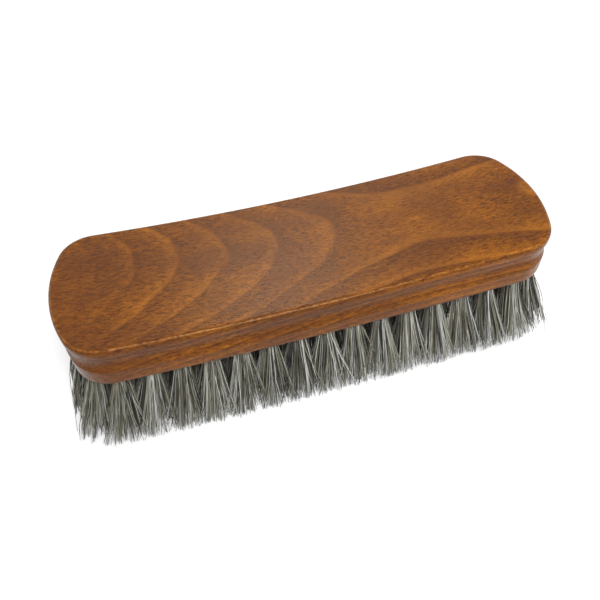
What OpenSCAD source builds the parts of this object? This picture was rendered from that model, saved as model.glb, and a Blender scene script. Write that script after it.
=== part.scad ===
// Shoe shine brush: a one-piece hardwood block, bored from below, with a horsehair tuft in each
// bore. Every tuft is a bundle folded over a flat wire anchor that bites into the wood.
// The hair tips are trimmed to a plane at z = 0, X runs along the brush, Z is up.

/* [Block] */
// Length of the block
block_l = 170; // [150:1:200]
// Width of the block across its long sides
block_w = 53; // [48:0.5:60]
// Height of the block at its two ends
block_h = 18; // [16:0.5:24]
// How far the top is dished at the middle
top_dish = 3.9; // [0:0.1:5]
// How far the underside is crowned at the middle
base_crown = 2.5; // [0:0.1:4]
// Radius of the bowed ends, seen from above
end_r = 50; // [44:1:80]
// Radius of the corners, seen from above
corner_r = 12.7; // [10:0.1:16]

/* [Edge] */
// Radius that breaks the top edge
arris_r = 1.4; // [0.5:0.1:2]
// Height of the upper lip, from the top face to the finger cove
lip_h = 3.2; // [2.2:0.1:4]
// Height of the finger cove that runs round the block
cove_h = 7.2; // [5:0.1:8]
// Depth of the finger cove
cove_d = 1.1; // [0.4:0.1:2]
// Radius that rounds the bottom edge
base_r = 1.8; // [0.5:0.1:2.5]

/* [Bores] */
// Diameter of a tuft's bore
bore_d = 5.2; // [4.2:0.1:5.6]
// Depth of a tuft's flat-bottomed bore
bore_depth = 9.5; // [6:0.1:11]
// Distance from the edge of the block to the centres of the outer bores
bore_edge = 4.75; // [4.4:0.05:6]
// Distance between the bores of the long outer rows
bore_pitch = 9.85; // [8.5:0.05:11]
// Bores round each end, between the long outer rows
end_bores = 5; // [3:1:5]
// Bores in each of the two inner side rows
inner_bores = 16; // [12:1:16]
// Bores in the middle row
middle_bores = 15; // [11:1:15]
// Gap between the end bores and the ends of the inner rows, centre to centre
inner_gap = 9.6; // [8.5:0.1:12]

/* [Hair] */
// Height of the underside above the trimmed tips, at the middle
hair_l = 30.5; // [24:0.5:40]
// How much higher the tips are trimmed at the ends
trim_crown = 3.5; // [0:0.1:5]
// Depth of the flat that is cut across the lowest tips
trim_flat = 0.5; // [0:0.1:1]
// Lean of the end tufts, away from the middle
end_lean = 14.5; // [0:0.5:16]
// Lean of the long outer rows, away from the middle
side_lean = 6.7; // [0:0.1:10]
// Locks of hair round the centre lock of an outer tuft
outer_locks = 5; // [3:1:5]
// Locks of hair round the centre lock of an inner tuft
inner_locks = 4; // [3:1:4]
// Distance from the tuft's axis to its outer locks at the root
lock_root_ring = 1.7; // [1.5:0.05:1.8]
// Distance from the tuft's axis to its outer locks at the tips
lock_tip_ring = 4.1; // [2.5:0.1:4.3]
// Radius of a lock at the root
lock_root_r = 0.7; // [0.4:0.05:0.75]
// Radius of a lock at the tip
lock_tip_r = 0.5; // [0.3:0.05:0.7]
// Clearance between the root of a tuft and its bore
hair_gap = 0.1; // [0.05:0.05:0.2]
// How far the root of a tuft stands proud of its bore
root_proud = 0.6; // [0.3:0.1:1]

/* [Anchors] */
// Length of the flat wire, which is more than the bore's diameter
anchor_l = 6; // [5.8:0.1:6.6]
// Width of the flat wire, along the bore
anchor_w = 1.8; // [1:0.1:2.2]
// Thickness of the flat wire
anchor_t = 0.4; // [0.3:0.05:0.6]
// Hair folded over the wire, between it and the end of the bore
fold_h = 1.2; // [0.8:0.1:2]
// Clearance round the wire
anchor_gap = 0.05; // [0.02:0.01:0.1]

/* [Hidden] */

wood = "#8a5527";
hair = "#8b897c";
steel = "#b9b9b4";
$fn = 32;

// Steps of each stretch of the outline's quarter, and of the edge profile
end_steps = 6;
corner_steps = 8;
side_steps = 8;
round_steps = 3;
cove_steps = 6;

half_l = block_l / 2;
half_w = block_w / 2;
base_end_z = hair_l + base_crown;
top_end_z = base_end_z + block_h;

// The corner arc runs inside the end arc and meets the straight side
end_cx = half_l - end_r;
corner_cy = half_w - corner_r;
corner_cx = end_cx + sqrt(pow(end_r - corner_r, 2) - pow(corner_cy, 2));
corner_a = atan2(corner_cy, corner_cx - end_cx);
cove_r = (pow(cove_h / 2, 2) + pow(cove_d, 2)) / (2 * cove_d);

// Centres of the long outer rows and of the inner rows between them
row_y = half_w - bore_edge;
inner_y = row_y / 2;
long_bores = 2 * floor(corner_cx / bore_pitch) + 1;
long_x = bore_pitch * (long_bores - 1) / 2;

// The line of the end bores: the end arc and corner arc, moved in from the block's edge
path_end_r = end_r - bore_edge;
path_corner_r = corner_r - bore_edge;
path_end_len = path_end_r * corner_a * PI / 180;
path_corner_len = path_corner_r * (90 - corner_a) * PI / 180;
path_half = path_end_len + path_corner_len + corner_cx - long_x;
inner_x = half_l - bore_edge - inner_gap;
middle_x = inner_x + inner_gap / 4;

bore_r = bore_d / 2;
root_r = bore_r - hair_gap;
anchor_depth = bore_depth - fold_h - anchor_w / 2;
lock_bury = 1.5;
lock_bend = 0.45;
lock_sides = 3;

// Heights of the dished top, the crowned underside and the trimmed tips at x
function top_z(x) = top_end_z - top_dish * (1 - pow(x / half_l, 2));
function base_z(x) = hair_l + base_crown * pow(x / half_l, 2);
function trim_z(x) = max(0, trim_crown * pow(x / half_l, 2) - trim_flat);

// Stations of the outline: a point and its outward normal, from one end's middle to the side's
quarter = concat(
    [for (i = [0 : end_steps - 1]) let (a = corner_a * i / end_steps)
        [end_cx + end_r * cos(a), end_r * sin(a), cos(a), sin(a)]],
    [for (i = [0 : corner_steps - 1]) let (a = corner_a + (90 - corner_a) * i / corner_steps)
        [corner_cx + corner_r * cos(a), corner_cy + corner_r * sin(a), cos(a), sin(a)]],
    [for (i = [0 : side_steps]) [corner_cx * (1 - i / side_steps), half_w, 0, 1]]
);
last = len(quarter) - 1;
outline = concat(
    quarter,
    [for (i = [last - 1 : -1 : 0]) let (q = quarter[i]) [-q[0], q[1], -q[2], q[3]]],
    [for (i = [1 : last]) let (q = quarter[i]) [-q[0], -q[1], -q[2], -q[3]]],
    [for (i = [last - 1 : -1 : 1]) let (q = quarter[i]) [q[0], -q[1], q[2], -q[3]]]
);

// Edge profile from the top face down: how far in from the outline, how far from the face
upper_edge = concat(
    [for (i = [0 : round_steps]) let (a = 90 * i / round_steps)
        [arris_r * (1 - sin(a)), arris_r * (1 - cos(a))]],
    [for (i = [0 : cove_steps]) let (u = (i / cove_steps - 0.5) * cove_h)
        [sqrt(pow(cove_r, 2) - pow(u, 2)) - cove_r + cove_d, lip_h + cove_h / 2 + u]]
);
lower_edge = [for (i = [0 : round_steps]) let (a = 90 * i / round_steps)
    [base_r * (1 - cos(a)), base_r * (1 - sin(a))]];

function upper_ring(p) = [for (s = outline) let (x = s[0] - p[0] * s[2])
    [x, s[1] - p[0] * s[3], top_z(x) - p[1]]];
function lower_ring(p) = [for (s = outline) let (x = s[0] - p[0] * s[2])
    [x, s[1] - p[0] * s[3], base_z(x) + p[1]]];

// Bores as [x, y]: the long rows, an end, and the inner rows
function row(count, half, y) = [for (i = [0 : count - 1]) [half * (2 * i / (count - 1) - 1), y]];
// The point on the line of the end bores, at the length s from the middle of the end
function end_point(s) = let (d = abs(s), side = sign(s))
    d < path_end_len ?
        let (a = d / path_end_r * 180 / PI)
        [end_cx + path_end_r * cos(a), side * path_end_r * sin(a)] :
    d < path_end_len + path_corner_len ?
        let (a = corner_a + (d - path_end_len) / path_corner_r * 180 / PI)
        [corner_cx + path_corner_r * cos(a), side * (corner_cy + path_corner_r * sin(a))] :
        [corner_cx - (d - path_end_len - path_corner_len), side * row_y];
function end_row(side) = [for (i = [1 : end_bores])
    let (p = end_point(path_half * (2 * i / (end_bores + 1) - 1))) [side * p[0], p[1]]];

front_row = row(long_bores, long_x, -row_y);
back_row = row(long_bores, long_x, row_y);
left_row = end_row(-1);
right_row = end_row(1);
front_inner_row = row(inner_bores, inner_x, -inner_y);
middle_row = row(middle_bores, middle_x, 0);
back_inner_row = row(inner_bores, inner_x, inner_y);
all_bores = concat(front_row, back_row, left_row, right_row,
    front_inner_row, middle_row, back_inner_row);

// Each bore leans away from the middle of the brush, in proportion to its place
function lean_x(p) = end_lean * p[0] / (half_l - bore_edge);
function lean_y(p) = side_lean * p[1] / row_y;
// The tuft's axis, as the move for each millimetre down
function axis(p) = [tan(lean_x(p)), tan(lean_y(p)) / cos(lean_x(p)), -1];

// Moves to the mouth of a bore, with Z up into the wood
module at_bore(p) {
    translate([p[0], p[1], base_z(p[0])])
    rotate([0, -lean_x(p), 0])
    rotate([lean_y(p), 0, 0])
    children();
}

// A round post r in radius, from z = -below to the depth h
module bore_shape(r, h, below) {
    translate([0, 0, -below])
    cylinder(r = r, h = h + below);
}

// The flat wire in its place in the bore, or its pocket with a clearance round it
module wire(l, gap) {
    translate([-l / 2 - gap, -anchor_t / 2 - gap, anchor_depth - anchor_w / 2 - gap])
    cube([l + 2 * gap, anchor_t + 2 * gap, anchor_w + 2 * gap]);
}

// The solid block, lofted through the rings of its edge profile
module block_body() {
    rings = concat([for (p = upper_edge) upper_ring(p)], [for (p = lower_edge) lower_ring(p)]);
    n = len(outline);
    bottom = (len(rings) - 1) * n;
    walls = [for (j = [0 : len(rings) - 2]) for (i = [0 : n - 1])
        let (a = j * n + i, b = j * n + (i + 1) % n)
        each [[a, b, b + n], [a, b + n, a + n]]];
    // The faces are strips across the brush between the stations that mirror each other
    caps = [for (i = [1 : n / 2 - 2]) let (a = i, b = i + 1, c = n - i - 1, d = n - i)
        each [[a, d, c], [a, c, b], [bottom + a, bottom + b, bottom + c],
            [bottom + a, bottom + c, bottom + d]]];
    tips = [[0, n - 1, 1], [n / 2 - 1, n / 2 + 1, n / 2],
        [bottom, bottom + 1, bottom + n - 1],
        [bottom + n / 2 - 1, bottom + n / 2, bottom + n / 2 + 1]];
    polyhedron(points = [for (r = rings) each r], faces = concat(walls, caps, tips));
}

module block() {
    color(wood)
    difference() {
        block_body();
        for (p = all_bores) at_bore(p) bore_shape(bore_r, bore_depth, bore_r);
        for (p = all_bores) at_bore(p) wire(anchor_l, anchor_gap);
    }
}

// One tapered lock of hair, from inside the root of its tuft to the trimmed tips
module lock(p, ring_root, ring_tip, turn) {
    mouth = [p[0], p[1], base_z(p[0])];
    dir = axis(p);
    tip_x = p[0] + dir[0] * mouth[2] + ring_tip * cos(turn);
    drop = mouth[2] - trim_z(tip_x);
    levels = [-lock_bury / drop, lock_bend, 1];
    points = [for (t = levels) let (
            u = max(t, 0),
            r = ring_root + (ring_tip - ring_root) * pow(u, 1.3),
            w = lock_root_r + (lock_tip_r - lock_root_r) * u)
        for (k = [0 : lock_sides - 1]) let (a = turn + 360 * k / lock_sides)
        mouth + dir * (t * drop) + [r * cos(turn) + w * cos(a), r * sin(turn) + w * sin(a), 0]];
    m = lock_sides;
    sides = [for (j = [0 : len(levels) - 2]) for (k = [0 : m - 1])
        let (a = j * m + k, b = j * m + (k + 1) % m)
        each [[a, b, b + m], [a, b + m, a + m]]];
    end = (len(levels) - 1) * m;
    polyhedron(points = points, faces = concat(sides, [[2, 1, 0], [end, end + 1, end + 2]]));
}

// One tuft: the packed root, slit for the wire that it folds over, and its locks
module tuft(p, locks) {
    at_bore(p)
    difference() {
        bore_shape(root_r, bore_depth - hair_gap, root_proud);
        wire(anchor_l, anchor_gap);
    }
    lock(p, 0, 0, 0);
    for (k = [0 : locks - 1])
        lock(p, lock_root_ring, lock_tip_ring, atan2(p[1], p[0]) + 360 * k / locks);
}

module tufts(row, locks) {
    color(hair)
    for (p = row) union() tuft(p, locks);
}

module anchors(row) {
    color(steel)
    for (p = row) at_bore(p) wire(anchor_l, 0);
}

module front_tufts() { tufts(front_row, outer_locks); }
module back_tufts() { tufts(back_row, outer_locks); }
module left_end_tufts() { tufts(left_row, outer_locks); }
module right_end_tufts() { tufts(right_row, outer_locks); }
module front_inner_tufts() { tufts(front_inner_row, inner_locks); }
module middle_tufts() { tufts(middle_row, inner_locks); }
module back_inner_tufts() { tufts(back_inner_row, inner_locks); }
module front_anchors() { anchors(front_row); }
module back_anchors() { anchors(back_row); }
module left_end_anchors() { anchors(left_row); }
module right_end_anchors() { anchors(right_row); }
module front_inner_anchors() { anchors(front_inner_row); }
module middle_anchors() { anchors(middle_row); }
module back_inner_anchors() { anchors(back_inner_row); }

block();
front_tufts();
back_tufts();
left_end_tufts();
right_end_tufts();
front_inner_tufts();
middle_tufts();
back_inner_tufts();
front_anchors();
back_anchors();
left_end_anchors();
right_end_anchors();
front_inner_anchors();
middle_anchors();
back_inner_anchors();
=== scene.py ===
# Shoe shine brush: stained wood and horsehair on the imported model
import math

import bpy
from mathutils import Matrix, Vector


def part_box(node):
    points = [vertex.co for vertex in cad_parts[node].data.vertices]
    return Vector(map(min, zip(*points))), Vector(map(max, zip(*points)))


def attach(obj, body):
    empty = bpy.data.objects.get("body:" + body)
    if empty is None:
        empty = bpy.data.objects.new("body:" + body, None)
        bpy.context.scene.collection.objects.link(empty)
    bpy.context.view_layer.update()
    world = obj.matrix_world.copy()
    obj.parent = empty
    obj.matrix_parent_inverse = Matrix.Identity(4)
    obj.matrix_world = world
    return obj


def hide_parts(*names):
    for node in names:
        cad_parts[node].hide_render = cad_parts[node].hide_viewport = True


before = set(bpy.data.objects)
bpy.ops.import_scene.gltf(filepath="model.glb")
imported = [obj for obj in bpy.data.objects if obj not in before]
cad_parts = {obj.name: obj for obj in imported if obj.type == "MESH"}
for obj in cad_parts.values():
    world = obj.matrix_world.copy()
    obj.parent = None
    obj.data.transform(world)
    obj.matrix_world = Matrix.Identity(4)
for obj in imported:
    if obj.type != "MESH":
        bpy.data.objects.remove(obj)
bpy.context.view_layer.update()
mm = 0.001


def srgb(red, green, blue):
    # A colour as it shows on screen, 0 to 255, turned into the linear values that nodes take
    def channel(value):
        value = value / 255
        return value / 12.92 if value <= 0.04045 else ((value + 0.055) / 1.055) ** 2.4
    return (channel(red), channel(green), channel(blue), 1.0)


# Node helpers, shared by the materials, the shader groups and the hair tree

def addNode(tree, kind, **settings):
    node = tree.nodes.new(kind)
    for key, value in settings.items():
        setattr(node, key, value)
    return node


def plug(tree, target, source):
    # A source is another node's output, or a plain value for the socket itself
    if isinstance(source, bpy.types.NodeSocket):
        tree.links.new(source, target)
    else:
        target.default_value = source


def calc(tree, operation, *values):
    node = addNode(tree, "ShaderNodeMath", operation=operation)
    for socket, value in zip(node.inputs, values):
        plug(tree, socket, value)
    return node.outputs[0]


def add(tree, first, *others):
    for other in others:
        first = calc(tree, "ADD", first, other)
    return first


def times(tree, first, *others):
    for other in others:
        first = calc(tree, "MULTIPLY", first, other)
    return first


def less(tree, first, second):
    return calc(tree, "SUBTRACT", first, second)


def vectorCalc(tree, operation, *values):
    node = addNode(tree, "ShaderNodeVectorMath", operation=operation)
    sockets = [s for s in node.inputs if s.name == "Vector"]
    for socket, value in zip(sockets, values):
        plug(tree, socket, value)
    return node.outputs["Vector"]


def scaleVector(tree, vector, factor):
    node = addNode(tree, "ShaderNodeVectorMath", operation="SCALE")
    plug(tree, node.inputs["Vector"], vector)
    plug(tree, node.inputs["Scale"], factor)
    return node.outputs["Vector"]


def joinVector(tree, x, y, z):
    node = addNode(tree, "ShaderNodeCombineXYZ")
    for socket, value in zip(node.inputs, (x, y, z)):
        plug(tree, socket, value)
    return node.outputs[0]


def splitVector(tree, vector):
    node = addNode(tree, "ShaderNodeSeparateXYZ")
    plug(tree, node.inputs[0], vector)
    return node.outputs["X"], node.outputs["Y"], node.outputs["Z"]


def mapRange(tree, value, fromLow, fromHigh, toLow, toHigh, smooth=False):
    node = addNode(tree, "ShaderNodeMapRange")
    if smooth:
        node.interpolation_type = "SMOOTHSTEP"
    for socket, source in zip(node.inputs, (value, fromLow, fromHigh, toLow, toHigh)):
        plug(tree, socket, source)
    return node.outputs[0]


def ease(tree, value, span, low=0.0, high=1.0):
    # A smooth change from low to high while the value crosses the span
    return mapRange(tree, value, span[0], span[1], low, high, smooth=True)


def noiseNode(tree, vector, detail, roughness, scale):
    node = addNode(tree, "ShaderNodeTexNoise")
    for name, source in (("Vector", vector), ("Scale", scale), ("Detail", detail), ("Roughness", roughness)):
        plug(tree, node.inputs[name], source)
    return node


def noise(tree, vector, detail, roughness=0.5):
    return noiseNode(tree, vector, detail, roughness, 1.0).outputs["Fac"]


def noiseDrift(tree, vector, scale=1.0):
    # A slowly changing move of up to half a unit each way
    colour = noiseNode(tree, vector, 1.0, 0.5, scale).outputs["Color"]
    return vectorCalc(tree, "SUBTRACT", colour, (0.5, 0.5, 0.5))


def mixColour(tree, factor, first, second):
    node = addNode(tree, "ShaderNodeMix", data_type="RGBA")
    plug(tree, node.inputs["Factor"], factor)
    plug(tree, node.inputs[6], first)
    plug(tree, node.inputs[7], second)
    return node.outputs[2]


def ramp(tree, factor, stops):
    node = addNode(tree, "ShaderNodeValToRGB")
    elements = node.color_ramp.elements
    while len(elements) < len(stops):
        elements.new(0.5)
    for element, (place, colour) in zip(elements, stops):
        element.position = place
        element.color = colour
    plug(tree, node.inputs[0], factor)
    return node.outputs["Color"]


# The block: the same loft as the CAD solid, with its edges worn soft and without the bores

block = {
    "endRadius": 50.0,     # sizes as the solid has them, mm, down to the base radius
    "cornerRadius": 12.7,
    "topDish": 3.9,
    "baseCrown": 2.5,
    "arrisRadius": 1.4,
    "lipHeight": 3.2,
    "coveHeight": 7.2,
    "coveDepth": 1.1,
    "baseRadius": 1.8,
    "softness": 0.28,      # how far sanding has rounded each change of the edge, mm
    "softSamples": 6,      # samples of that rounding, each way
    "rowStep": 0.3,        # spacing of the rows down the edge
    "capInset": 4.0,       # where the edge rows start on the faces
    "wallReach": 1.2,      # how much of the plain wall the upper and lower profile each carry
    "endSteps": 26,        # faces along each stretch of the outline and the edge
    "cornerSteps": 30,
    "sideSteps": 40,
    "roundSteps": 8,
    "coveSteps": 24,
}

blockLow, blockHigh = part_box("block")
halfLength = (blockHigh[0] - blockLow[0]) / 2 / mm
halfWidth = (blockHigh[1] - blockLow[1]) / 2 / mm
topEnd = blockHigh[2] / mm
baseMiddle = blockLow[2] / mm


def topHeight(x):
    return topEnd - block["topDish"] * (1 - (x / halfLength) ** 2)


def baseHeight(x):
    return baseMiddle + block["baseCrown"] * (x / halfLength) ** 2


endCentre = halfLength - block["endRadius"]
cornerY = halfWidth - block["cornerRadius"]
cornerX = endCentre + math.sqrt((block["endRadius"] - block["cornerRadius"]) ** 2 - cornerY ** 2)
cornerStart = math.atan2(cornerY, cornerX - endCentre)


def outlineStations():
    # Points of the plan outline with their outward normals, all the way round
    quarter = []
    for i in range(block["endSteps"]):
        a = cornerStart * i / block["endSteps"]
        quarter.append((endCentre + block["endRadius"] * math.cos(a),
                        block["endRadius"] * math.sin(a), math.cos(a), math.sin(a)))
    for i in range(block["cornerSteps"]):
        a = cornerStart + (math.pi / 2 - cornerStart) * i / block["cornerSteps"]
        quarter.append((cornerX + block["cornerRadius"] * math.cos(a),
                        cornerY + block["cornerRadius"] * math.sin(a), math.cos(a), math.sin(a)))
    for i in range(block["sideSteps"] + 1):
        quarter.append((cornerX * (1 - i / block["sideSteps"]), halfWidth, 0.0, 1.0))
    second = [(-x, y, -nx, ny) for x, y, nx, ny in reversed(quarter[:-1])]
    third = [(-x, -y, -nx, -ny) for x, y, nx, ny in quarter[1:]]
    fourth = [(x, -y, nx, -ny) for x, y, nx, ny in reversed(quarter[1:-1])]
    return quarter + second + third + fourth


def softened(points, step, softness):
    # Resamples a profile at even steps and rounds its corners with a bell-shaped average
    lengths = [0.0]
    for a, b in zip(points, points[1:]):
        lengths.append(lengths[-1] + math.dist(a, b))

    def at(s):
        s = min(max(s, 0.0), lengths[-1])
        for k in range(1, len(lengths)):
            if s <= lengths[k]:
                u = (s - lengths[k - 1]) / max(lengths[k] - lengths[k - 1], 1e-9)
                return [points[k - 1][c] * (1 - u) + points[k][c] * u for c in (0, 1)]
        return list(points[-1])

    count = int(lengths[-1] / step)
    samples = block["softSamples"]
    out = []
    for i in range(count + 1):
        s = lengths[-1] * i / count
        reach = min(3 * softness, s, lengths[-1] - s)
        offsets = [reach * k / samples for k in range(-samples, samples + 1)]
        weights = [math.exp(-0.5 * (d / softness) ** 2) for d in offsets]
        spots = [at(s + d) for d in offsets]
        total = sum(weights)
        out.append([sum(w * p[c] for w, p in zip(weights, spots)) / total for c in (0, 1)])
    return out


def quarterTurn():
    steps = block["roundSteps"]
    return [math.pi / 2 * i / steps for i in range(steps + 1)]


def upperProfile():
    # How far in from the outline and how far below the top, from the face to below the cove
    r = block["arrisRadius"]
    depth = block["coveDepth"]
    height = block["coveHeight"]
    points = [(block["capInset"], 0.0)]
    points += [(r * (1 - math.sin(a)), r * (1 - math.cos(a))) for a in quarterTurn()]
    coveRadius = ((height / 2) ** 2 + depth ** 2) / (2 * depth)
    for i in range(block["coveSteps"] + 1):
        u = (i / block["coveSteps"] - 0.5) * height
        inset = math.sqrt(coveRadius ** 2 - u ** 2) - coveRadius + depth
        points.append((inset, block["lipHeight"] + height / 2 + u))
    points.append((0.0, block["lipHeight"] + height + block["wallReach"]))
    return softened(points, block["rowStep"], block["softness"])


def lowerProfile():
    # How far in and how far above the underside, from the wall to the flat of the underside
    r = block["baseRadius"]
    points = [(0.0, r + block["wallReach"])]
    points += [(r * (1 - math.cos(a)), r * (1 - math.sin(a))) for a in quarterTurn()]
    points.append((block["capInset"], 0.0))
    return softened(points, block["rowStep"], block["softness"])


def buildBlock():
    stations = outlineStations()
    count = len(stations)
    points = []
    rows = 0
    for profile, height, side in ((upperProfile(), topHeight, -1), (lowerProfile(), baseHeight, 1)):
        for inset, shift in profile:
            for x, y, nx, ny in stations:
                px = x - inset * nx
                points.append((px * mm, (y - inset * ny) * mm, (height(px) + side * shift) * mm))
            rows += 1
    faces = []
    for j in range(rows - 1):
        for i in range(count):
            a = j * count + i
            b = j * count + (i + 1) % count
            faces.append((a, a + count, b + count, b))
    # The top and the underside are strips across the brush, with a triangle at each end
    last = (rows - 1) * count
    for i in range(1, count // 2 - 1):
        a, b, c, d = i, i + 1, count - i - 1, count - i
        faces.append((a, b, c, d))
        faces.append((last + d, last + c, last + b, last + a))
    half = count // 2
    faces.append((0, 1, count - 1))
    faces.append((half - 1, half, half + 1))
    faces.append((last + count - 1, last + 1, last))
    faces.append((last + half + 1, last + half, last + half - 1))
    mesh = bpy.data.meshes.new("woodenBlock")
    mesh.from_pydata(points, [], faces)
    mesh.validate()
    mesh.polygons.foreach_set("use_smooth", [True] * len(mesh.polygons))
    mesh.update()
    piece = bpy.data.objects.new("woodenBlock", mesh)
    bpy.context.scene.collection.objects.link(piece)
    return piece


# Wood: growth rings round a sloping pith above the top, cut by the dished face and the cove

woodLook = {
    "ringWidth": 2.95,         # mm between growth rings
    "ringStart": 0.91,         # where the first ring begins, as a share of a ring
    "pithHeight": 75.0,        # mm of the pith above the top's ends
    "pithY": 5.0,              # how far back the pith is at the middle of the block, mm
    "pithTurn": -0.06,         # how far the pith moves across for each mm along
    "taper": 0.162,            # slope of the pith along the left half of the block
    "bendFrom": -5.0,          # where the pith starts to run level with the block, mm
    "bendTo": 45.0,
    "bendLoss": 0.84,          # share of the slope that is gone after the bend
    "calmFrom": -52.0,         # the rings fade out towards the left end, mm
    "calmTo": -74.0,
    "calmest": 0.35,           # strength of the rings at the left end and at the right end
    "boldest": 1.6,
    "paleRight": 0.16,         # how much paler the wood is towards the right end
    "wander": 0.85,            # how far the rings stray, mm
    "slowShare": 4.0,          # how much of that the long and the short waves take
    "quickShare": 0.3,
    "fray": 1.1,               # how far the fibres fray the edge of a ring, mm
    # Noises: marks for each mm along, across and up, then detail and roughness
    "slowWaves": ((0.011, 0.032, 0.032), 2.0, 0.45),
    "quickWaves": ((0.06, 0.22, 0.22), 2.0, 0.5),
    "fibres": ((0.42, 1.7, 1.7), 4.0, 0.8),
    "pores": ((0.75, 2.6, 2.6), 2.0, 0.6),
    "blotches": ((0.035, 0.06, 0.06), 3.0, 0.55),
    "poreSpan": (0.53, 0.7),   # the part of their noise that shows as pores
    # The tone round a ring: from and to as shares of the ring, then from and to as tones
    "ringFade": (0.0, 0.75, 0.24, 0.48),
    "ringEdge": (0.7, 0.86, 0.0, 0.18),
    "ringDrop": (0.93, 1.0, 0.0, -0.42),
    "ringMiddle": 0.42,        # the tone that a calm ring comes near to
    "fibreTone": 2.6,          # how much the fibres, the blotches and the pores show
    "blotchTone": 0.6,
    "poreTone": 0.6,
    "mauveSpan": (0.4, 0.6),   # the blotches that turn mauve, and how much
    "mauveTone": 0.4,
    "darkWood": srgb(68, 33, 9),
    "midWood": srgb(126, 68, 12),
    "lightWood": srgb(170, 102, 28),
    "toneStops": (0.0, 0.42, 0.95),       # tones of the dark, the middle and the light wood
    "mauveWood": srgb(104, 56, 28),
    "fleckWood": srgb(64, 32, 10),
    "roughness": (0.3, 0.7, 0.22, 0.36),  # fibre noise from and to, then roughness from and to
    "specular": 0.2,
    "specularTint": srgb(255, 214, 150),
    "coat": 0.12,
    "coatRoughness": 0.3,
    "fibreHeight": 0.6,        # shares of the bump that fibres raise and pores sink
    "poreDepth": 0.5,
    "bumpStrength": 0.6,
    "bumpSize": 0.1,           # mm
}

# Marks along the upper arris: the dents are wear, and the pale scuffs are partly wear and partly a painted
# highlight along the arris
wearAndHighlight = {
    "scuffAndHighlightSize": 0.5,            # marks for each mm
    "dentSize": 0.16,
    "detail": 3.0,
    "scuffTop": (0.02, 0.14),    # mm below the top where the scuffs, with their painted highlight, begin, and where they end
    "scuffEnd": (0.25, 0.55),
    "dentTop": (0.02, 0.3),
    "dentEnd": (1.2, 2.4),
    "scuffRough": 0.7,
    "dentRough": 0.6,
    "scuffSpan": (0.42, 0.62),   # the part of their noise that shows
    "dentSpan": (0.6, 0.68),
    "scuffAndHighlightTone": 0.5,
    "dentTone": 0.75,
    # the pale scuff colour, partly wear and partly a painted highlight
    "scuffAndHighlightWood": srgb(196, 132, 66),
}


def newGroup(name, inputs, outputs):
    # A shader group that takes a place and some numbers, with its input and output nodes
    group = bpy.data.node_groups.new(name, "ShaderNodeTree")
    group.interface.new_socket("Place", in_out="INPUT", socket_type="NodeSocketVector")
    for label, value in inputs:
        socket = group.interface.new_socket(label, in_out="INPUT", socket_type="NodeSocketFloat")
        socket.default_value = value
    for label in outputs:
        group.interface.new_socket(label, in_out="OUTPUT", socket_type="NodeSocketFloat")
    return group, addNode(group, "NodeGroupInput"), addNode(group, "NodeGroupOutput")


def woodGroup():
    group, given, result = newGroup("stainedGrain", (
        ("Ring width", woodLook["ringWidth"]), ("Taper", woodLook["taper"]),
        ("Pith height", woodLook["pithHeight"]), ("Wander", woodLook["wander"])),
        ("Ring", "Fibre", "Fleck", "Blotch"))
    place = scaleVector(group, given.outputs["Place"], 1 / mm)
    x, y, z = splitVector(group, place)

    def pattern(name):
        stretch, detail, roughness = woodLook[name]
        return noise(group, vectorCalc(group, "MULTIPLY", place, stretch), detail, roughness)

    fibre = pattern("fibres")
    fleck = ease(group, pattern("pores"), woodLook["poreSpan"])
    blotch = pattern("blotches")
    slow = less(group, pattern("slowWaves"), 0.5)
    quick = less(group, pattern("quickWaves"), 0.5)

    # The pith leans across the block from the back left to the front right
    pithY = add(group, times(group, x, woodLook["pithTurn"]), woodLook["pithY"])
    across = less(group, y, pithY)
    below = less(group, add(group, given.outputs["Pith height"], topEnd), z)
    reach = calc(group, "SQRT", add(group, times(group, across, across), times(group, below, below)))
    # The pith's slope fades between the two bends, so the arches give way to long streaks
    bend = (woodLook["bendFrom"], woodLook["bendTo"])
    bendLength = bend[1] - bend[0]
    bent = calc(group, "MINIMUM", calc(group, "MAXIMUM", less(group, x, bend[0]), 0.0), bendLength)
    lost = times(group, bent, bent, woodLook["bendLoss"] / 2 / bendLength)
    beyond = times(group, calc(group, "MAXIMUM", less(group, x, bend[1]), 0.0), woodLook["bendLoss"])
    along = times(group, less(group, less(group, x, lost), beyond), given.outputs["Taper"])
    # Fibres fray the edge between one ring and the next
    fray = times(group, less(group, fibre, 0.5), woodLook["fray"])
    stray = times(group, slow, times(group, given.outputs["Wander"], woodLook["slowShare"]))
    ripple = times(group, quick, times(group, given.outputs["Wander"], woodLook["quickShare"]))
    rings = add(group, reach, along, fray, add(group, stray, ripple))
    turns = calc(group, "DIVIDE", rings, given.outputs["Ring width"])
    turn = calc(group, "FRACT", add(group, turns, woodLook["ringStart"]))

    # Each ring starts dark, pales slowly and ends in a pale band
    ring = add(group, mapRange(group, turn, *woodLook["ringFade"]),
               mapRange(group, turn, *woodLook["ringEdge"], smooth=True),
               mapRange(group, turn, *woodLook["ringDrop"], smooth=True))
    calm = ease(group, x, (woodLook["calmFrom"], woodLook["calmTo"]), 1.0, woodLook["calmest"])
    bold = ease(group, x, bend, 1.0, woodLook["boldest"])
    contrast = times(group, less(group, ring, woodLook["ringMiddle"]), times(group, calm, bold))
    ring = add(group, contrast, woodLook["ringMiddle"], ease(group, x, bend, 0.0, woodLook["paleRight"]))
    for name, value in (("Ring", ring), ("Fibre", fibre), ("Fleck", fleck), ("Blotch", blotch)):
        plug(group, result.inputs[name], value)
    return group


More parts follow.
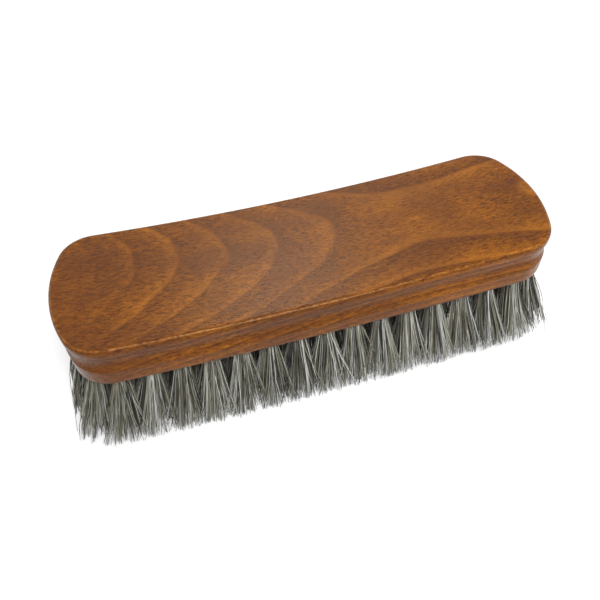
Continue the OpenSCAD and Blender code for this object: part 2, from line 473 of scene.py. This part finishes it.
def wearAndHighlightGroup():
    # Scuffs and small dents along the upper arris, where the block gets knocked; the pale scuffs are also a
    # painted highlight along the arris
    group, given, result = newGroup("arrisWearAndHighlight", (
        ("Top dish", block["topDish"]), ("ScuffAndHighlight size", wearAndHighlight["scuffAndHighlightSize"]),
        ("Dent size", wearAndHighlight["dentSize"])), ("ScuffAndHighlight", "Dent"))
    place = scaleVector(group, given.outputs["Place"], 1 / mm)
    x, y, z = splitVector(group, place)
    share = calc(group, "DIVIDE", x, halfLength)
    dish = times(group, less(group, 1.0, times(group, share, share)), given.outputs["Top dish"])
    depth = less(group, less(group, topEnd, dish), z)
    for name, kind in (("ScuffAndHighlight", "scuff"), ("Dent", "dent")):
        band = times(group, ease(group, depth, wearAndHighlight[kind + "Top"]),
                     ease(group, depth, wearAndHighlight[kind + "End"], 1.0, 0.0))
        knock = noise(group, scaleVector(group, place, given.outputs[name + " size"]),
                      wearAndHighlight["detail"], wearAndHighlight[kind + "Rough"])
        plug(group, result.inputs[name], times(group, band, ease(group, knock, wearAndHighlight[kind + "Span"])))
    return group


def newMaterial(name):
    material = bpy.data.materials.new(name)
    material.use_nodes = True
    tree = material.node_tree
    shader = tree.nodes["Principled BSDF"]
    return material, tree, shader


def woodMaterial():
    material, tree, shader = newMaterial("stainedWood")
    place = addNode(tree, "ShaderNodeTexCoord").outputs["Object"]
    grain = addNode(tree, "ShaderNodeGroup", node_tree=woodGroup())
    plug(tree, grain.inputs["Place"], place)
    ring, fibre, fleck, blotch = (grain.outputs[name] for name in ("Ring", "Fibre", "Fleck", "Blotch"))
    wearAndHighlightMarks = addNode(tree, "ShaderNodeGroup", node_tree=wearAndHighlightGroup())
    plug(tree, wearAndHighlightMarks.inputs["Place"], place)

    tone = add(tree, ring, times(tree, less(tree, fibre, 0.5), woodLook["fibreTone"]),
               times(tree, less(tree, blotch, 0.5), woodLook["blotchTone"]))
    woods = (woodLook["darkWood"], woodLook["midWood"], woodLook["lightWood"])
    colour = ramp(tree, tone, list(zip(woodLook["toneStops"], woods)))
    for strength, shade in (
            (ease(tree, blotch, woodLook["mauveSpan"], woodLook["mauveTone"], 0.0), woodLook["mauveWood"]),
            (times(tree, fleck, woodLook["poreTone"]), woodLook["fleckWood"]),
            # the pale scuffs: partly wear, partly a painted highlight along the arris
            (times(tree, wearAndHighlightMarks.outputs["ScuffAndHighlight"], wearAndHighlight["scuffAndHighlightTone"]), wearAndHighlight["scuffAndHighlightWood"]),
            (times(tree, wearAndHighlightMarks.outputs["Dent"], wearAndHighlight["dentTone"]), woodLook["fleckWood"])):
        colour = mixColour(tree, strength, colour, shade)
    plug(tree, shader.inputs["Base Color"], colour)
    plug(tree, shader.inputs["Roughness"], mapRange(tree, fibre, *woodLook["roughness"]))
    shader.inputs["Specular IOR Level"].default_value = woodLook["specular"]
    shader.inputs["Specular Tint"].default_value = woodLook["specularTint"]
    shader.inputs["Coat Weight"].default_value = woodLook["coat"]
    shader.inputs["Coat Roughness"].default_value = woodLook["coatRoughness"]
    bump = addNode(tree, "ShaderNodeBump")
    bump.inputs["Strength"].default_value = woodLook["bumpStrength"]
    bump.inputs["Distance"].default_value = woodLook["bumpSize"] * mm
    plug(tree, bump.inputs["Height"], less(tree, times(tree, fibre, woodLook["fibreHeight"]),
                                           times(tree, fleck, woodLook["poreDepth"])))
    plug(tree, shader.inputs["Normal"], bump.outputs["Normal"])
    return material


# Wire: drawn lengthwise, so its streaks are long and fine

wireLook = {
    "streaks": (400.0, 6000.0, 6000.0),   # marks for each metre along, across and up
    "streakSpan": (0.3, 0.7),
    "darkSteel": srgb(150, 150, 146),
    "paleSteel": srgb(196, 196, 190),
    "roughness": (0.28, 0.42),
}


def wireMaterial():
    material, tree, shader = newMaterial("flatWire")
    coords = addNode(tree, "ShaderNodeTexCoord")
    drawn = vectorCalc(tree, "MULTIPLY", coords.outputs["Object"], wireLook["streaks"])
    streak = noise(tree, drawn, 2.0)
    steels = (wireLook["darkSteel"], wireLook["paleSteel"])
    plug(tree, shader.inputs["Base Color"], ramp(tree, streak, list(zip(wireLook["streakSpan"], steels))))
    plug(tree, shader.inputs["Roughness"],
         mapRange(tree, streak, *wireLook["streakSpan"], *wireLook["roughness"]))
    shader.inputs["Metallic"].default_value = 1.0
    return material


# Hair: every tuft is a bundle of a few hundred hairs, grown by one tree of geometry nodes

tufts = {
    "boreEdge": 4.75,        # the bores and the trim as the solids have them, mm
    "borePitch": 9.85,
    "endBores": 5,
    "innerBores": 16,
    "middleBores": 15,
    "innerGap": 9.6,
    "endLean": 14.5,
    "sideLean": 6.7,         # lean of the end tufts and of the long outer rows, degrees
    "trimCrown": 3.5,
    "trimFlat": 0.5,
    "bury": 1.2,             # how far each hair starts inside its bore, mm
    "rootRadius": 2.45,
    "splay": 0.135,          # outward lean of a tuft's outermost hairs
    "scatter": 0.07,         # lean of a hair that strays by itself
    "clump": 0.26,           # lean of a lock of hairs that stray together
    "lockSpots": 1.5,        # how finely a tuft parts into locks
    "lockScale": 1.3,
    "lockShades": 1.7,       # how finely its shades part
    "tuftStep": 900.0,       # sets the locks of one tuft apart from its neighbour's
    "wildness": 4.5,         # how many times more the wildest hairs stray
    "wildRare": 24.0,        # the higher, the fewer wild hairs
    "tipLift": 0.1,          # keeps the blunt tips off the ground, mm
    "limitX": (86.0, 7.5),   # where hairs start to be held in, and how far they can go beyond, mm
    "limitY": (27.5, 3.5),
    "ragged": 2.4,           # how far the shortest hairs fall short, mm
    "raggedRare": 3.0,       # the higher, the fewer short hairs
    "opening": 1.12,         # above 1, a tuft stays tight near the wood
    "waves": 2.2,            # waves along a hair, and how far they reach at the tip, mm
    "waveSize": 2.2,
    "waveStep": 5000.0,      # sets each hair's waves apart
    "hairRadius": 0.165,
    "tipFrom": 0.55,         # where a hair starts to thin, as a share of its length
    "tipShare": 0.6,         # width at the tip, as a share of the width at the root
    "steps": 7,
    "outerHairs": 250,
    "innerHairs": 180,
    "firstSeed": 11,
    "seedStep": 20,
}

rowY = halfWidth - tufts["boreEdge"]


def evenRow(count, half, y):
    return [(half * (2 * i / (count - 1) - 1), y) for i in range(count)]


def endRow(side):
    # The end bores lie evenly along a line that follows the block's edge
    endR = block["endRadius"] - tufts["boreEdge"]
    cornerR = block["cornerRadius"] - tufts["boreEdge"]
    endLength = endR * cornerStart
    cornerLength = cornerR * (math.pi / 2 - cornerStart)
    longX = tufts["borePitch"] * math.floor(cornerX / tufts["borePitch"])
    half = endLength + cornerLength + cornerX - longX
    out = []
    for i in range(1, tufts["endBores"] + 1):
        s = half * (2 * i / (tufts["endBores"] + 1) - 1)
        d = abs(s)
        if d < endLength:
            a = d / endR
            x, y = endCentre + endR * math.cos(a), endR * math.sin(a)
        elif d < endLength + cornerLength:
            a = cornerStart + (d - endLength) / cornerR
            x, y = cornerX + cornerR * math.cos(a), cornerY + cornerR * math.sin(a)
        else:
            x, y = cornerX - (d - endLength - cornerLength), rowY
        out.append((side * x, math.copysign(y, s)))
    return out


def tuftRows():
    longCount = 2 * math.floor(cornerX / tufts["borePitch"]) + 1
    longX = tufts["borePitch"] * (longCount - 1) / 2
    innerX = halfLength - tufts["boreEdge"] - tufts["innerGap"]
    return {
        "front_tufts": (evenRow(longCount, longX, -rowY), tufts["outerHairs"]),
        "back_tufts": (evenRow(longCount, longX, rowY), tufts["outerHairs"]),
        "left_end_tufts": (endRow(-1), tufts["outerHairs"]),
        "right_end_tufts": (endRow(1), tufts["outerHairs"]),
        "front_inner_tufts": (evenRow(tufts["innerBores"], innerX, -rowY / 2), tufts["innerHairs"]),
        "middle_tufts": (evenRow(tufts["middleBores"], innerX + tufts["innerGap"] / 4, 0.0),
                         tufts["innerHairs"]),
        "back_inner_tufts": (evenRow(tufts["innerBores"], innerX, rowY / 2), tufts["innerHairs"]),
    }


def softLimit(tree, value, start, reach):
    # Values pass unchanged up to the start, and bend over to stay within the reach beyond it
    size = calc(tree, "ABSOLUTE", value)
    extra = calc(tree, "MAXIMUM", less(tree, size, start), 0.0)
    bent = calc(tree, "EXPONENT", calc(tree, "DIVIDE", extra, -reach))
    bent = times(tree, less(tree, 1.0, bent), reach)
    limited = add(tree, calc(tree, "MINIMUM", size, start), bent)
    return times(tree, calc(tree, "SIGN", value), limited)


def randomValue(tree, low, high, seed):
    node = addNode(tree, "FunctionNodeRandomValue", data_type="FLOAT")
    plug(tree, node.inputs[2], low)
    plug(tree, node.inputs[3], high)
    plug(tree, node.inputs["Seed"], seed)
    return node.outputs[1]


def hairTree(hairMaterialUsed):
    tree = bpy.data.node_groups.new("tuftHair", "GeometryNodeTree")
    tree.interface.new_socket("Geometry", in_out="INPUT", socket_type="NodeSocketGeometry")
    for name, kind, value in (
            ("Hairs", "NodeSocketInt", tufts["outerHairs"]),
            ("Root radius", "NodeSocketFloat", tufts["rootRadius"] * mm),
            ("Splay", "NodeSocketFloat", tufts["splay"]),
            ("Scatter", "NodeSocketFloat", tufts["scatter"]),
            ("Clump", "NodeSocketFloat", tufts["clump"]),
            ("Ragged", "NodeSocketFloat", tufts["ragged"] * mm),
            ("Hair radius", "NodeSocketFloat", tufts["hairRadius"] * mm),
            ("Seed", "NodeSocketInt", 1)):
        socket = tree.interface.new_socket(name, in_out="INPUT", socket_type=kind)
        socket.default_value = value
    tree.interface.new_socket("Geometry", in_out="OUTPUT", socket_type="NodeSocketGeometry")
    given = addNode(tree, "NodeGroupInput")
    result = addNode(tree, "NodeGroupOutput")
    seed = given.outputs["Seed"]

    copies = addNode(tree, "GeometryNodeDuplicateElements", domain="POINT")
    plug(tree, copies.inputs["Geometry"], given.outputs["Geometry"])
    plug(tree, copies.inputs["Amount"], given.outputs["Hairs"])

    def seeded(step):
        return add(tree, seed, float(step))

    mouth = addNode(tree, "GeometryNodeInputPosition").outputs[0]
    lean = addNode(tree, "GeometryNodeInputNamedAttribute", data_type="FLOAT_VECTOR")
    lean.inputs["Name"].default_value = "tuftLean"
    angle = randomValue(tree, 0.0, 2 * math.pi, seeded(1))
    spread = calc(tree, "SQRT", randomValue(tree, 0.0, 1.0, seeded(2)))
    side = joinVector(tree, calc(tree, "COSINE", angle), calc(tree, "SINE", angle), 0.0)
    spot = scaleVector(tree, side, spread)
    offset = scaleVector(tree, spot, given.outputs["Root radius"])

    # Hairs that start close together stray together, which parts a tuft into locks
    lockPlace = vectorCalc(tree, "ADD", scaleVector(tree, spot, tufts["lockSpots"]),
                           scaleVector(tree, mouth, tufts["tuftStep"]))
    lockDrift = noiseDrift(tree, lockPlace, tufts["lockScale"])
    strayDrift = joinVector(tree, randomValue(tree, -1.0, 1.0, seeded(3)),
                            randomValue(tree, -1.0, 1.0, seeded(4)), 0.0)
    # A few hairs stick out of their tuft
    rare = calc(tree, "POWER", randomValue(tree, 0.0, 1.0, seeded(7)), tufts["wildRare"])
    wild = add(tree, 1.0, times(tree, rare, tufts["wildness"]))
    drift = vectorCalc(tree, "ADD", scaleVector(tree, spot, given.outputs["Splay"]),
                       scaleVector(tree, strayDrift, times(tree, given.outputs["Scatter"], wild)))
    drift = vectorCalc(tree, "ADD", drift, scaleVector(tree, lockDrift, given.outputs["Clump"]))
    drift = vectorCalc(tree, "MULTIPLY", drift, (1.0, 1.0, 0.0))

    # The tips end at the trimmed, crowned face; some hairs fall short of it
    mx, my, mz = splitVector(tree, mouth)
    slope = vectorCalc(tree, "ADD", lean.outputs["Attribute"], drift)
    sx, sy, sz = splitVector(tree, slope)
    tipX = add(tree, mx, times(tree, sx, mz))
    share = calc(tree, "DIVIDE", tipX, halfLength * mm)
    trim = less(tree, times(tree, times(tree, share, share), tufts["trimCrown"] * mm), tufts["trimFlat"] * mm)
    trim = calc(tree, "MAXIMUM", trim, tufts["tipLift"] * mm)
    short = calc(tree, "POWER", randomValue(tree, 0.0, 1.0, seeded(5)), tufts["raggedRare"])
    trim = add(tree, trim, times(tree, short, given.outputs["Ragged"]))
    fall = less(tree, mz, trim)
    tone = randomValue(tree, 0.0, 1.0, seeded(6))
    lockTone = noise(tree, scaleVector(tree, lockPlace, tufts["lockShades"]), 1.0)

    stored = copies.outputs["Geometry"]
    for name, kind, value in (("hairMouth", "FLOAT_VECTOR", vectorCalc(tree, "ADD", mouth, offset)),
                              ("hairSlope", "FLOAT_VECTOR", slope),
                              ("hairFall", "FLOAT", fall),
                              ("hairTone", "FLOAT", tone),
                              ("lockTone", "FLOAT", lockTone)):
        store = addNode(tree, "GeometryNodeStoreNamedAttribute", data_type=kind, domain="POINT")
        store.inputs["Name"].default_value = name
        plug(tree, store.inputs["Geometry"], stored)
        plug(tree, store.inputs["Value"], value)
        stored = store.outputs["Geometry"]

    # A straight line stands on each root, and is moved into the shape of its hair below
    straight = addNode(tree, "GeometryNodeCurvePrimitiveLine")
    divided = addNode(tree, "GeometryNodeResampleCurve")
    plug(tree, divided.inputs["Curve"], straight.outputs["Curve"])
    divided.inputs["Count"].default_value = tufts["steps"]
    grown = addNode(tree, "GeometryNodeInstanceOnPoints")
    plug(tree, grown.inputs["Points"], stored)
    plug(tree, grown.inputs["Instance"], divided.outputs["Curve"])
    real = addNode(tree, "GeometryNodeRealizeInstances")
    plug(tree, real.inputs["Geometry"], grown.outputs["Instances"])

    def named(name, kind):
        node = addNode(tree, "GeometryNodeInputNamedAttribute", data_type=kind)
        node.inputs["Name"].default_value = name
        return node.outputs["Attribute"]

    t = addNode(tree, "GeometryNodeSplineParameter").outputs["Factor"]
    hairMouth = named("hairMouth", "FLOAT_VECTOR")
    hairSlope = named("hairSlope", "FLOAT_VECTOR")
    hairFall = named("hairFall", "FLOAT")
    bury = tufts["bury"] * mm
    down = less(tree, times(tree, t, add(tree, hairFall, bury)), bury)
    # Slopes open up below the mouth, so the bundle stays tight where it leaves the wood
    opened = calc(tree, "MAXIMUM", calc(tree, "DIVIDE", down, hairFall), 0.0)
    opened = calc(tree, "POWER", opened, tufts["opening"])
    sideways = scaleVector(tree, hairSlope, times(tree, opened, hairFall))
    wavePlace = vectorCalc(tree, "ADD", scaleVector(tree, hairMouth, tufts["waveStep"]),
                           joinVector(tree, 0.0, 0.0, times(tree, t, tufts["waves"])))
    wave = vectorCalc(tree, "MULTIPLY", noiseDrift(tree, wavePlace), (1.0, 1.0, 0.0))
    wave = scaleVector(tree, wave, times(tree, t, tufts["waveSize"] * mm))
    place = vectorCalc(tree, "ADD", hairMouth, sideways)
    place = vectorCalc(tree, "ADD", place, wave)
    place = vectorCalc(tree, "ADD", place, joinVector(tree, 0.0, 0.0, times(tree, down, -1.0)))
    px, py, pz = splitVector(tree, place)
    place = joinVector(tree, softLimit(tree, px, tufts["limitX"][0] * mm, tufts["limitX"][1] * mm),
                       softLimit(tree, py, tufts["limitY"][0] * mm, tufts["limitY"][1] * mm), pz)
    moved = addNode(tree, "GeometryNodeSetPosition")
    plug(tree, moved.inputs["Geometry"], real.outputs["Geometry"])
    plug(tree, moved.inputs["Position"], place)
    along = addNode(tree, "GeometryNodeStoreNamedAttribute", data_type="FLOAT", domain="POINT")
    along.inputs["Name"].default_value = "alongHair"
    plug(tree, along.inputs["Geometry"], moved.outputs["Geometry"])
    plug(tree, along.inputs["Value"], t)
    outline = addNode(tree, "GeometryNodeCurvePrimitiveCircle", mode="RADIUS")
    outline.inputs["Resolution"].default_value = 3
    plug(tree, outline.inputs["Radius"], given.outputs["Hair radius"])
    tube = addNode(tree, "GeometryNodeCurveToMesh")
    plug(tree, tube.inputs["Curve"], along.outputs["Geometry"])
    plug(tree, tube.inputs["Profile Curve"], outline.outputs["Curve"])
    plug(tree, tube.inputs["Scale"], mapRange(tree, t, tufts["tipFrom"], 1.0, 1.0, tufts["tipShare"]))
    tube.inputs["Fill Caps"].default_value = True
    smooth = addNode(tree, "GeometryNodeSetShadeSmooth")
    plug(tree, smooth.inputs["Geometry"], tube.outputs["Mesh"])
    whole = addNode(tree, "GeometryNodeRealizeInstances")
    plug(tree, whole.inputs["Geometry"], smooth.outputs["Geometry"])
    finish = addNode(tree, "GeometryNodeSetMaterial")
    finish.inputs["Material"].default_value = hairMaterialUsed
    plug(tree, finish.inputs["Geometry"], whole.outputs["Geometry"])
    plug(tree, result.inputs["Geometry"], finish.outputs["Geometry"])
    return tree


hairLook = {
    "ownTone": 0.75,         # how much of its tone a hair has of its own, and how much of its lock
    "lockTone": 0.3,
    "tones": [(0.12, srgb(18, 19, 21)), (0.3, srgb(58, 58, 54)), (0.46, srgb(128, 127, 112)),
              (0.6, srgb(166, 165, 148)), (0.74, srgb(212, 213, 206)), (0.9, srgb(246, 247, 245))],
    "yellowHair": srgb(176, 166, 132),
    "yellow": (0.55, 1.0, 0.0, 0.55),        # which hairs yellow, from and to, and how much
    "yellowMix": 37.0,                       # spreads the yellow hairs over all tones
    "tipHair": srgb(58, 64, 84),
    "tip": (0.86, 1.0, 0.0, 0.42),           # where the tips darken along a hair, and how much
    "roughness": (0.0, 1.0, 0.38, 0.55),     # tone from and to, then roughness from and to
    "specular": 0.45,
}


def hairMaterial():
    material, tree, shader = newMaterial("horsehair")

    def named(name):
        node = addNode(tree, "ShaderNodeAttribute", attribute_type="GEOMETRY")
        node.attribute_name = name
        return node.outputs["Fac"]

    tone = add(tree, times(tree, named("hairTone"), hairLook["ownTone"]),
               times(tree, named("lockTone"), hairLook["lockTone"]))
    tint = calc(tree, "FRACT", times(tree, named("hairTone"), hairLook["yellowMix"]))
    colour = ramp(tree, tone, hairLook["tones"])
    colour = mixColour(tree, mapRange(tree, tint, *hairLook["yellow"]), colour, hairLook["yellowHair"])
    tip = mapRange(tree, named("alongHair"), *hairLook["tip"], smooth=True)
    colour = mixColour(tree, tip, colour, hairLook["tipHair"])
    plug(tree, shader.inputs["Base Color"], colour)
    plug(tree, shader.inputs["Roughness"], mapRange(tree, tone, *hairLook["roughness"]))
    shader.inputs["Specular IOR Level"].default_value = hairLook["specular"]
    return material


def growRow(node, spots, hairs, seed, tree):
    mesh = bpy.data.meshes.new(node + "Mouths")
    mesh.from_pydata([(x * mm, y * mm, baseHeight(x) * mm) for x, y in spots], [], [])
    leans = mesh.attributes.new("tuftLean", "FLOAT_VECTOR", "POINT")
    for i, (x, y) in enumerate(spots):
        leanX = math.radians(tufts["endLean"] * x / (halfLength - tufts["boreEdge"]))
        leanY = math.radians(tufts["sideLean"] * y / rowY)
        leans.data[i].vector = (math.tan(leanX), math.tan(leanY) / math.cos(leanX), 0.0)
    grower = bpy.data.objects.new(node + "Grower", mesh)
    bpy.context.scene.collection.objects.link(grower)
    modifier = grower.modifiers.new("hair", "NODES")
    modifier.node_group = tree
    sockets = {s.name: s.identifier for s in tree.interface.items_tree
               if s.item_type == "SOCKET" and s.in_out == "INPUT"}
    modifier[sockets["Hairs"]] = hairs
    modifier[sockets["Seed"]] = seed
    depsgraph = bpy.context.evaluated_depsgraph_get()
    hairMesh = bpy.data.meshes.new_from_object(grower.evaluated_get(depsgraph), depsgraph=depsgraph)
    bpy.data.objects.remove(grower)
    piece = bpy.data.objects.new("hair_" + node, hairMesh)
    bpy.context.scene.collection.objects.link(piece)
    return piece


# Stage: a pale floor, soft lamps and the camera where the photograph was taken from

camera = {
    "yaw": -13.5534,       # degrees
    "height": 49.7671,     # how steeply it looks down, degrees
    "roll": -3.1056,
    "distance": 203.8349,  # mm
    "focal": 605.9496,     # in pixels of the 600 pixel frame
    "frameSize": 600,
    "centreX": 5.5751,     # where the middle of the block's ends lies from the frame's centre
    "centreY": -61.6558,
    "sensorWidth": 36.0,   # mm
    "clipStart": 0.01,     # m
}


def placeCamera():
    yaw, high, roll = (math.radians(camera[k]) for k in ("yaw", "height", "roll"))
    back = Vector((math.sin(yaw) * math.cos(high), -math.cos(yaw) * math.cos(high), math.sin(high)))
    right = (-back).cross(Vector((0, 0, 1))).normalized()
    up = right.cross(-back)
    rolledRight = math.cos(roll) * right + math.sin(roll) * up
    rolledUp = -math.sin(roll) * right + math.cos(roll) * up
    distance = camera["distance"]
    place = distance * back
    place -= camera["centreX"] / camera["focal"] * distance * rolledRight
    place += camera["centreY"] / camera["focal"] * distance * rolledUp
    place.z += topEnd
    data = bpy.data.cameras.new("photoCamera")
    data.sensor_width = camera["sensorWidth"]
    data.lens = camera["focal"] / camera["frameSize"] * data.sensor_width
    data.clip_start = camera["clipStart"]
    eye = bpy.data.objects.new("photoCamera", data)
    turn = Matrix((rolledRight, rolledUp, back)).transposed().to_4x4()
    eye.matrix_world = Matrix.Translation(place * mm) @ turn
    bpy.context.scene.collection.objects.link(eye)
    bpy.context.scene.camera = eye


stage = {
    "lamps": {             # place, target, width and height in metres, then power in watts
        "keyLamp": ((0.08, -0.42, 0.72), (0.0, 0.0, 0.03), (0.24, 0.24), 4.4),
        "backLamp": ((0.1, 0.49, 0.65), (0.0, 0.0, 0.03), (0.16, 0.12), 1.0),
        "frontLamp": ((0.2, -0.8, 0.09), (0.0, 0.0, 0.04), (1.1, 0.16), 0.8),
        "underLamp": ((0.0, 0.0, -0.5), (0.0, 0.0, 0.0), (0.5, 0.5), 1.4),
    },
    "white": (1.0, 1.0, 1.0, 1.0),
    "worldLight": 0.33,    # what lights the brush, while the camera sees a strength of 1
    "floorReach": 3.0,     # metres each way
    "floorDrop": 0.0004,   # keeps the floor clear of the tips
    "floorColour": (0.9, 0.9, 0.9, 1.0),
    "floorRoughness": 0.7,
    "floorLift": (0.3, 1.2, 0.32, 0.75),  # metres from and to, then strength from and to
}


def areaLamp(name, place, target, size, power):
    data = bpy.data.lights.new(name, "AREA")
    data.shape = "RECTANGLE"
    data.size, data.size_y = size
    data.energy = power
    lamp = bpy.data.objects.new(name, data)
    lamp.location = place
    lamp.visible_camera = False
    lamp.rotation_euler = (Vector(target) - Vector(place)).to_track_quat("-Z", "Y").to_euler()
    bpy.context.scene.collection.objects.link(lamp)


def seenRays(tree):
    # 1 for what the camera sees, straight or in a reflection
    path = addNode(tree, "ShaderNodeLightPath")
    return calc(tree, "MAXIMUM", path.outputs["Is Camera Ray"],
                calc(tree, "MAXIMUM", path.outputs["Is Glossy Ray"], path.outputs["Is Transmission Ray"]))


def buildWorld():
    # The camera sees a white studio, while the brush is lit by a dimmer one
    world = bpy.data.worlds.new("studio")
    world.use_nodes = True
    tree = world.node_tree
    background = tree.nodes["Background"]
    background.inputs["Color"].default_value = stage["white"]
    strength = mapRange(tree, seenRays(tree), 0.0, 1.0, stage["worldLight"], 1.0)
    plug(tree, background.inputs["Strength"], strength)
    bpy.context.scene.world = world


def floorMaterial():
    material, tree, shader = newMaterial("paleFloor")
    shader.inputs["Base Color"].default_value = stage["floorColour"]
    shader.inputs["Roughness"].default_value = stage["floorRoughness"]
    shader.inputs["Specular IOR Level"].default_value = 0.0
    shader.inputs["Emission Color"].default_value = stage["white"]
    # The camera sees the lit floor as white, with the brush's shadow left on it
    geometry = addNode(tree, "ShaderNodeNewGeometry")
    away = addNode(tree, "ShaderNodeVectorMath", operation="LENGTH")
    plug(tree, away.inputs[0], geometry.outputs["Position"])
    # Far from the lamps the floor needs more to look white
    lift = mapRange(tree, away.outputs["Value"], *stage["floorLift"])
    plug(tree, shader.inputs["Emission Strength"], times(tree, seenRays(tree), lift))
    # From below the floor is clear, so that the tufts' tips and the underside can be seen
    clear = addNode(tree, "ShaderNodeBsdfTransparent")
    either = addNode(tree, "ShaderNodeMixShader")
    plug(tree, either.inputs[0], geometry.outputs["Backfacing"])
    plug(tree, either.inputs[1], shader.outputs["BSDF"])
    plug(tree, either.inputs[2], clear.outputs["BSDF"])
    plug(tree, tree.nodes["Material Output"].inputs["Surface"], either.outputs["Shader"])
    return material


def buildStage():
    buildWorld()
    for name, (place, target, size, power) in stage["lamps"].items():
        areaLamp(name, place, target, size, power)
    reach, z = stage["floorReach"], -stage["floorDrop"]
    corners = [(x * reach, y * reach, z) for x, y in ((-1, -1), (1, -1), (1, 1), (-1, 1))]
    mesh = bpy.data.meshes.new("floor")
    mesh.from_pydata(corners, [], [(0, 1, 2, 3)])
    mesh.materials.append(floorMaterial())
    floor = bpy.data.objects.new("floor", mesh)
    bpy.context.scene.collection.objects.link(floor)
    # The lamp below stands in for what a white table throws back at the tips
    floor.visible_diffuse = False
    floor.visible_shadow = False


print("camera and stage")
bpy.context.scene.view_settings.view_transform = "Standard"
placeCamera()
buildStage()

print("wooden block")
woodFinish = woodMaterial()
woodenBlock = buildBlock()
woodenBlock.data.materials.append(woodFinish)
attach(woodenBlock, "root")
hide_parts("block")

print("hair")
hairFinish = hairMaterial()
tuftTree = hairTree(hairFinish)
for number, (node, (spots, hairs)) in enumerate(tuftRows().items()):
    hairRow = growRow(node, spots, hairs, tufts["firstSeed"] + tufts["seedStep"] * number, tuftTree)
    print(node, len(hairRow.data.polygons), "faces")
    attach(hairRow, "root")
    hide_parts(node)

print("anchors")
wireFinish = wireMaterial()
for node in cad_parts:
    if node.endswith("_anchors"):
        anchorObject = bpy.data.objects.get(node)
        if anchorObject:
            anchorObject.data.materials.clear()
            anchorObject.data.materials.append(wireFinish)
